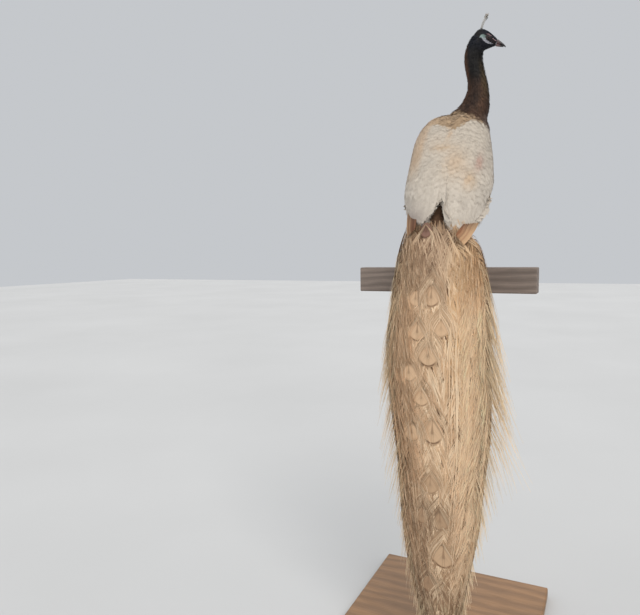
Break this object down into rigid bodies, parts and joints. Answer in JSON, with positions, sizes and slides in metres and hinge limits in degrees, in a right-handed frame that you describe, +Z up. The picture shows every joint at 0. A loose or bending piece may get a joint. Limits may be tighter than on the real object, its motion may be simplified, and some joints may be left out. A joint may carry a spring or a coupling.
{
  "type": "peacock, adult male in a peach and cream colour form, mounted on a perch and display stand",
  "caption": "Life-size peacock as a museum mount: perched on a cut timber rail, train hanging behind, head turned right.",
  "frame": {"origin": "middle of the display base's underside, on the floor", "axes": "+Z up; the bird looks along +Y with its train hanging on the -Y side; +X is the bird's right hand side, where its bill points"},
  "size_m": [0.54, 0.58, 1.7892],
  "materials": {
    "cream_plumage": "soft matt feathers, cream with tan shading",
    "train_plumage": "loose silky peach-tan feathers with faint eyespots",
    "dark_plumage": "short dense near-black brown feathers with a faint blue sheen",
    "bill_horn": "satin horn, darker along the ridge",
    "eye": "wet gloss, dark brown",
    "leg_scales": "dry grey-horn scales",
    "claw_horn": "satin dark horn",
    "rail_timber": "weathered grey-brown sawn timber",
    "base_wood": "satin varnished hardwood",
    "rod_steel": "brushed"
  },
  "bodies": {
    "root": {"head": "dark_plumage", "neck": "dark_plumage", "crest": "dark_plumage", "bill_upper": "bill_horn", "bill_lower": "bill_horn", "eye_left": "eye", "eye_right": "eye", "trunk": "cream_plumage", "wing_left": "cream_plumage", "wing_right": "cream_plumage", "primaries_left": "train_plumage", "primaries_right": "train_plumage", "train_upper": "train_plumage", "train_middle": "train_plumage", "train_lower": "train_plumage", "tail": "train_plumage", "thigh_left": "cream_plumage", "thigh_right": "cream_plumage", "shank_left": "leg_scales", "shank_right": "leg_scales", "foot_left": "leg_scales", "foot_right": "leg_scales", "claw_left_inner": "claw_horn", "claw_left_middle": "claw_horn", "claw_left_outer": "claw_horn", "claw_left_hind": "claw_horn", "claw_right_inner": "claw_horn", "claw_right_middle": "claw_horn", "claw_right_outer": "claw_horn", "claw_right_hind": "claw_horn", "spur_left": "claw_horn", "spur_right": "claw_horn", "stand_base": "base_wood", "stand_perch": "rail_timber", "stand_rod": "rod_steel"}
  },
  "joints": []
}
